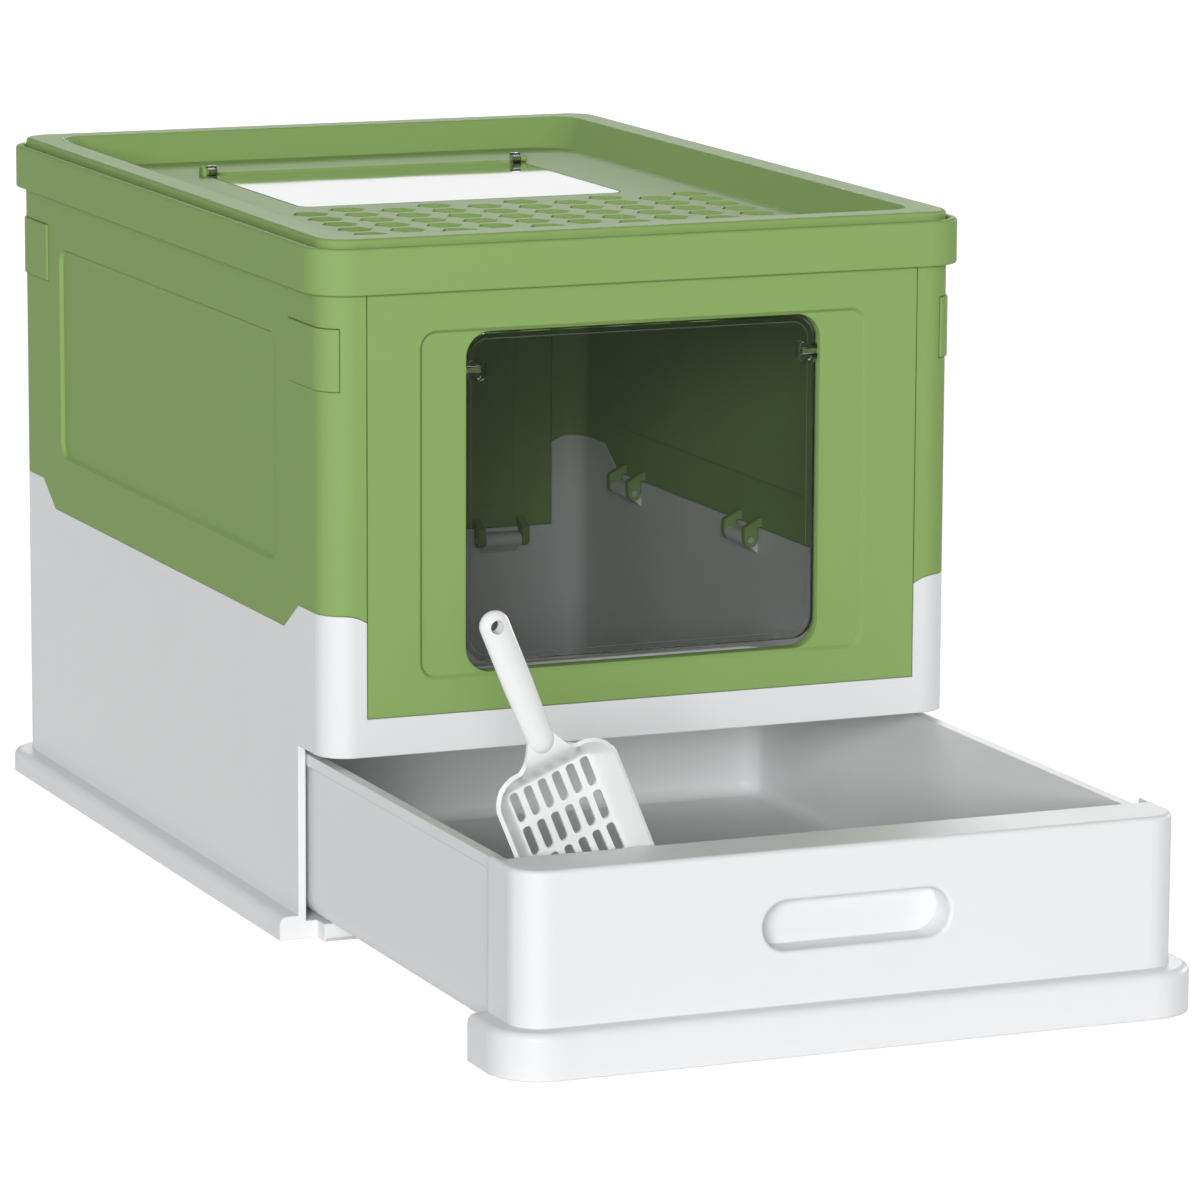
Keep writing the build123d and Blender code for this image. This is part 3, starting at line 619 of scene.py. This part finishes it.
@dataclass
class ScoopTool(SubAssembly):
    """The slotted scoop that stands in the drawer: across is X, the handle's way Y, out of the pan Z."""

    node: ClassVar[str] = "scoop"
    lean: float = 22.6  # degrees to the left
    foot_x: float = -0.091
    columns: int = 6
    rows: int = 6
    slot_w: float = 0.0044
    slot_end: float = 0.0030  # rounded end of a slot
    slot_mid: float = 0.0090  # straight middle of a slot
    rib_across: float = 0.0032
    rib_along: float = 0.0026
    margin: float = 0.0030  # plain floor beside the slots
    tip: float = 0.0135  # plain floor before the first row
    rim: float = 0.0120  # height of the rim over the floor
    side_flare: float = 0.0074  # how far the rim stands out at the sides
    top_flare: float = 0.0080  # and at the neck
    floor_round: float = 0.0022  # how far the floor's upper corners are drawn in
    rim_round: float = 0.0036  # how far the rim's corners are drawn in
    rim_reach: float = 0.0110  # how far along the rim its rounding is felt
    tip_slope: float = 0.0120  # how far the rim ends short of the tip
    bend_row: int = 4  # rows below the floor's bend
    bend: float = 7.0  # degrees that the floor rises to its tip
    sheet: float = 0.0022  # thickness of the pan
    smoothing: int = 3  # levels of subdivision
    neck_reach: float = 0.0130  # rim edges this near the middle are drawn out into the neck
    neck_rise: float = 0.0085
    neck_narrow: float = 0.58
    neck_tongue: float = 0.0090  # part of the neck inside the handle's foot
    tongue_narrow: float = 0.55
    handle_low: float = 0.1310
    handle_high: float = 0.2045
    handle_r: float = 0.0074
    handle_flat: float = 0.58
    handle_z: float = 0.0120
    handle_sides: int = 40
    handle_rings: int = 24
    foot_taper: float = 0.90
    hole_r: float = 0.0032
    hole_sides: int = 40
    plug_ratio: int = 4  # length of the plug that cuts the hole, to the handle's radius
    near: ClassVar[float] = 1e-5  # places closer than this are the same

    @property
    def pitch_x(self) -> float:
        """One slot and one rib across."""
        return self.slot_w + self.rib_across

    @property
    def slot_l(self) -> float:
        """A slot's length."""
        return self.slot_mid + 2 * self.slot_end

    @property
    def pitch_y(self) -> float:
        """One slot and one rib along."""
        return self.slot_l + self.rib_along

    @property
    def half(self) -> float:
        """Half the floor's width."""
        return self.margin + (self.columns * self.pitch_x - self.rib_across) / 2

    @property
    def top(self) -> float:
        """The floor's upper end."""
        return self.tip + self.rows * self.pitch_y

    def in_slot(self, place: Vector) -> bool:
        """Whether a face of the floor lies in a slot.

        Args:
            place: the face's middle.

        Returns:
            True in a slot.
        """
        across = (place.x + self.half - self.margin) % self.pitch_x < self.slot_w
        along = (place.y - self.tip) % self.pitch_y < self.slot_l
        return across and along and place.y > self.tip

    def floor(self) -> Bench:
        """The pan's floor: a sheet drawn out column by column and row by row, with its slots open.

        Returns:
            The floor, ready for its walls.
        """
        bpy.ops.object.select_all(action="DESELECT")
        bpy.ops.mesh.primitive_plane_add(size=1.0)
        bench = Bench()
        bench.pick_all()
        bench.resize((self.margin, self.tip, 1.0))
        bench.move((self.margin / 2 - self.half, self.tip / 2, 0.0))
        bench.pick(Pick.EDGES, lambda place: place.x > self.margin - self.half - self.near)
        for column in range(self.columns):
            bench.extrude((self.slot_w, 0.0, 0.0))
            last = column == self.columns - 1
            bench.extrude((self.margin if last else self.rib_across, 0.0, 0.0))
        bench.pick(Pick.EDGES, lambda place: place.y > self.tip - self.near)
        for _ in range(self.rows):
            for step in (self.slot_end, self.slot_mid, self.slot_end, self.rib_along):
                bench.extrude((0.0, step, 0.0))
        bench.pick(Pick.FACES, self.in_slot)
        bpy.ops.mesh.delete(type="FACE")
        return bench

    def walls(self, bench: Bench) -> None:
        """Draw the pan's walls up from its floor, flare and round them, and bend the floor to its tip.

        Args:
            bench: the floor.
        """
        near, half, top = self.near, self.half, self.top
        bench.pick(Pick.EDGES, lambda place: abs(place.x) > half - near or place.y > top - near)
        bench.extrude((0.0, 0.0, self.rim))
        for side in (-1, 1):
            bench.pick(Pick.VERTS, lambda place: place.z > near and place.x * side > half - near)
            bench.move((side * self.side_flare, 0.0, 0.0))
            bench.pick(Pick.VERTS, lambda place: place.z < near and place.x * side > half - near
                       and place.y > top - near)
            bench.move((-side * self.floor_round, -self.floor_round, 0.0))
        bench.pick(Pick.VERTS, lambda place: place.z > near and place.y > top - near)
        bench.move((0.0, self.top_flare, 0.0))
        for side in (-1, 1):
            bench.pick(Pick.VERTS, lambda place: place.z > near and place.x * side > half + near
                       and place.y > top + near)
            bench.drag((-side * self.rim_round, -self.rim_round, 0.0), self.rim_reach)
        bench.pick(Pick.VERTS, lambda place: place.z > near and place.y < near)
        bench.move((0.0, self.tip_slope, 0.0))
        bend_y = self.tip + self.bend_row * self.pitch_y - self.rib_along
        bench.pick(Pick.VERTS, lambda place: place.z < near and place.y < bend_y - near)
        bench.turn(math.radians(self.bend), "X", (0.0, bend_y, 0.0))

    def neck(self, bench: Bench) -> None:
        """Draw the neck out of the middle of the upper rim, then smooth the pan and give it its thickness.

        Args:
            bench: the pan.
        """
        high = self.top + self.top_flare
        bench.pick(Pick.EDGES, lambda place: place.z > self.rim - self.near and place.y > high - self.near
                   and abs(place.x) < self.neck_reach)
        bench.extrude((0.0, self.neck_rise, 0.0))
        bench.resize((self.neck_narrow, 1.0, 1.0))
        bench.extrude((0.0, self.neck_tongue, 0.0))
        bench.resize((self.tongue_narrow, 1.0, 1.0))
        bench.pick_all()
        bpy.ops.mesh.normals_make_consistent(inside=False)
        bench.modify("SUBSURF", {"levels": self.smoothing, "render_levels": self.smoothing})
        bench.modify("SOLIDIFY", {"thickness": self.sheet, "offset": 0.0})

    def handle(self) -> bpy.types.Object:
        """The handle: a ball drawn out, flattened and drawn in towards its foot.

        Returns:
            The handle.
        """
        bpy.ops.object.select_all(action="DESELECT")
        bpy.ops.mesh.primitive_uv_sphere_add(segments=self.handle_sides, ring_count=self.handle_rings,
                                             radius=self.handle_r)
        bench = Bench()
        bench.pick_all()
        bench.turn(math.radians(90.0), "X")
        reach = (self.handle_high - self.handle_low) / 2 - self.handle_r
        for side in (-1, 1):
            bench.pick(Pick.VERTS, lambda place: place.y * side > self.near)
            bench.move((0.0, side * reach, 0.0))
        bench.pick(Pick.VERTS, lambda place: place.y < -self.near)
        bench.resize((self.foot_taper, 1.0, self.foot_taper))
        bench.pick_all()
        bench.resize((1.0, 1.0, self.handle_flat))
        bench.move((0.0, (self.handle_high + self.handle_low) / 2, self.handle_z))
        bpy.ops.object.mode_set(mode="OBJECT")
        return bench.piece

    def hang_hole(self) -> bpy.types.Object:
        """The plug that cuts the round hole in the handle's end.

        Returns:
            The plug.
        """
        middle = (0.0, self.handle_high - self.handle_r, self.handle_z)
        bpy.ops.object.select_all(action="DESELECT")
        bpy.ops.mesh.primitive_cylinder_add(vertices=self.hole_sides, radius=self.hole_r,
                                            depth=self.plug_ratio * self.handle_r, location=middle)
        return bpy.context.object

    def standing(self) -> Matrix:
        """From the scoop's own axes to the frame, from the place of its node.

        Returns:
            The turn and the place.
        """
        low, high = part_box(self.node)
        lean = math.radians(self.lean)
        across = Vector((math.cos(lean), 0.0, math.sin(lean)))
        along = Vector((-math.sin(lean), 0.0, math.cos(lean)))
        out = Vector((0.0, -1.0, 0.0))
        foot = Vector((self.foot_x, high[1] - self.sheet / 2, low[2] + self.half * math.sin(lean)))
        return Matrix.Translation(foot) @ Matrix((across, along, out)).transposed().to_4x4()

    def build(self) -> None:
        """Model the scoop, stand it in the drawer and dress it."""
        bench = self.floor()
        self.walls(bench)
        self.neck(bench)
        bench.combine("UNION", self.handle())
        bench.combine("DIFFERENCE", self.hang_hole())
        bench.place(self.standing())
        bpy.ops.object.shade_smooth_by_angle(angle=SMOOTH_BELOW)
        bench.piece.name = "scoop_moulded"
        self.finishes.dress(bench.piece, Slot.SCOOP)
        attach(bench.piece, "scoop")
        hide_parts(self.node)
        log.info("scoop modelled, %d faces", len(bench.piece.data.polygons))


@dataclass
class SoftBox:
    """A wide studio lamp, placed by its bearing from the object."""

    name: str
    bearing: float  # degrees round from the front, to the right
    rise: float  # degrees above the floor
    distance: float
    width: float
    height: float
    level: float  # brightness of a white face turned to it
    aim: Triple = (0.0, -0.1, 0.18)

    def build(self) -> None:
        """Hang the lamp and turn it to its aim."""
        turn = math.radians(self.bearing)
        rise = math.radians(self.rise)
        flat = math.cos(rise)
        away = Vector((math.sin(turn) * flat, -math.cos(turn) * flat, math.sin(rise)))
        data = bpy.data.lights.new(self.name, "AREA")
        data.shape = "RECTANGLE"
        data.size = self.width
        data.size_y = self.height
        data.energy = self.level * (math.pi * self.distance) ** 2
        lamp = bpy.data.objects.new(self.name, data)
        bpy.context.scene.collection.objects.link(lamp)
        lamp.location = Vector(self.aim) + away * self.distance
        lamp.rotation_euler = (-away).to_track_quat("-Z", "Y").to_euler()


@dataclass
class Studio:
    """A plain white floor and surroundings, with soft lamps."""

    floor_side: float = 12.0
    floor_colour: Triple = (0.90, 0.90, 0.90)
    floor_shade: float = 0.30  # share of the floor that takes the shadow, where it is looked at
    floor_glow: float = 0.90  # the rest of its white there
    sky: float = 0.26  # strength of the even light
    white: float = 1.0  # strength of the background, where it is looked at

    @staticmethod
    def lamps() -> tuple[SoftBox, ...]:
        """The studio's lamps.

        Returns:
            The key lamp, the lamp behind and the one at the right.
        """
        return (
            SoftBox("key_lamp", bearing=-28.5, rise=12.5, distance=12.0,
                    width=4.5, height=2.6, level=0.85),
            SoftBox("back_lamp", bearing=154.0, rise=23.0, distance=7.0,
                    width=3.0, height=1.2, level=0.22),
            SoftBox("right_lamp", bearing=108.0, rise=12.0, distance=7.0,
                    width=3.0, height=1.2, level=0.38),
        )

    @staticmethod
    def looked_at(tree: ShaderTree) -> Sock:
        """1 for rays that show the background, seen straight, mirrored or through clear sheet."""
        path = tree.node("ShaderNodeLightPath", {}, {})
        return path["Is Camera Ray"].larger(path["Is Glossy Ray"]).larger(path["Is Transmission Ray"])

    def lay_floor(self) -> None:
        """Lay the floor: it bounces light as pale board, and is seen as white with the object's shadow."""
        bpy.ops.object.select_all(action="DESELECT")
        bpy.ops.mesh.primitive_plane_add(size=self.floor_side, location=ORIGIN)
        floor = bpy.context.object
        floor.name = "studio_floor"
        material = bpy.data.materials.new("studio_floor")
        tree = ShaderTree(material)
        grey = opaque((self.floor_shade,) * 3)
        plain = tree.node("ShaderNodeBsdfDiffuse", {}, {"Color": opaque(self.floor_colour)})["BSDF"]
        shade = tree.node("ShaderNodeBsdfDiffuse", {}, {"Color": grey})["BSDF"]
        glow = tree.node("ShaderNodeEmission", {}, {"Strength": self.floor_glow})["Emission"]
        shown = tree.node("ShaderNodeAddShader", {}, {0: shade, 1: glow})["Shader"]
        both = {0: self.looked_at(tree), 1: plain, 2: shown}
        tree.surface(tree.node("ShaderNodeMixShader", {}, both)["Shader"])
        floor.data.materials.append(material)

    def light_world(self) -> None:
        """Make the surroundings: an even light that is seen as white."""
        world = bpy.data.worlds.new("studio_world")
        bpy.context.scene.world = world
        tree = ShaderTree(world)
        pure = {"Color": opaque((1.0, 1.0, 1.0)), "Strength": self.white}
        even = tree.node("ShaderNodeBackground", {}, {"Strength": self.sky})["Background"]
        shown = tree.node("ShaderNodeBackground", {}, pure)["Background"]
        both = {0: self.looked_at(tree), 1: even, 2: shown}
        tree.surface(tree.node("ShaderNodeMixShader", {}, both)["Shader"])

    def build(self) -> None:
        """Lay the floor, light the world and hang the lamps."""
        self.lay_floor()
        self.light_world()
        for lamp in self.lamps():
            lamp.build()
        log.info("studio built")


@dataclass
class PhotoCamera:
    """The photograph's camera, as fitted to the object's corners."""

    azimuth: float = -0.398042  # radians round from the front, to the right
    elevation: float = 0.185227  # radians above the floor
    distance: float = 3.43529
    target: Triple = (0.07803, 0.0, 0.12)
    roll: float = 0.00483  # radians
    focal: float = 6360.0  # pixels
    frame_side: float = 1200.0  # pixels
    sensor: float = 36.0  # millimetres
    clip_end: float = 100.0

    def build(self) -> None:
        """Place the camera and make it the scene's."""
        flat = math.cos(self.elevation)
        to_right = math.sin(self.azimuth) * flat
        to_front = math.cos(self.azimuth) * flat
        back = Vector((to_right, -to_front, math.sin(self.elevation)))
        right = (-back).cross(Vector((0.0, 0.0, 1.0))).normalized()
        up = right.cross(-back)
        turned_right = right * math.cos(self.roll) + up * math.sin(self.roll)
        turned_up = up * math.cos(self.roll) - right * math.sin(self.roll)
        eye = Vector(self.target) + back * self.distance
        data = bpy.data.cameras.new("photo_camera")
        data.sensor_width = self.sensor
        data.lens = self.focal / self.frame_side * self.sensor
        data.clip_end = self.clip_end
        camera = bpy.data.objects.new("photo_camera", data)
        bpy.context.scene.collection.objects.link(camera)
        axes = Matrix((turned_right, turned_up, back)).transposed().to_4x4()
        camera.matrix_world = Matrix.Translation(eye) @ axes
        bpy.context.scene.camera = camera
        log.info("camera placed")


def main() -> None:
    """Build the sub-assemblies, the studio and the camera."""
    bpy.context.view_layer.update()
    bpy.context.scene.view_settings.view_transform = "Standard"
    finishes = Finishes()
    for assembly in (BaseTub, FoldingWalls, FrontDoor, Lid, Drawer, ScoopTool):
        assembly(finishes).build()
    Studio().build()
    PhotoCamera().build()


if __name__ == "__main__":
    main()
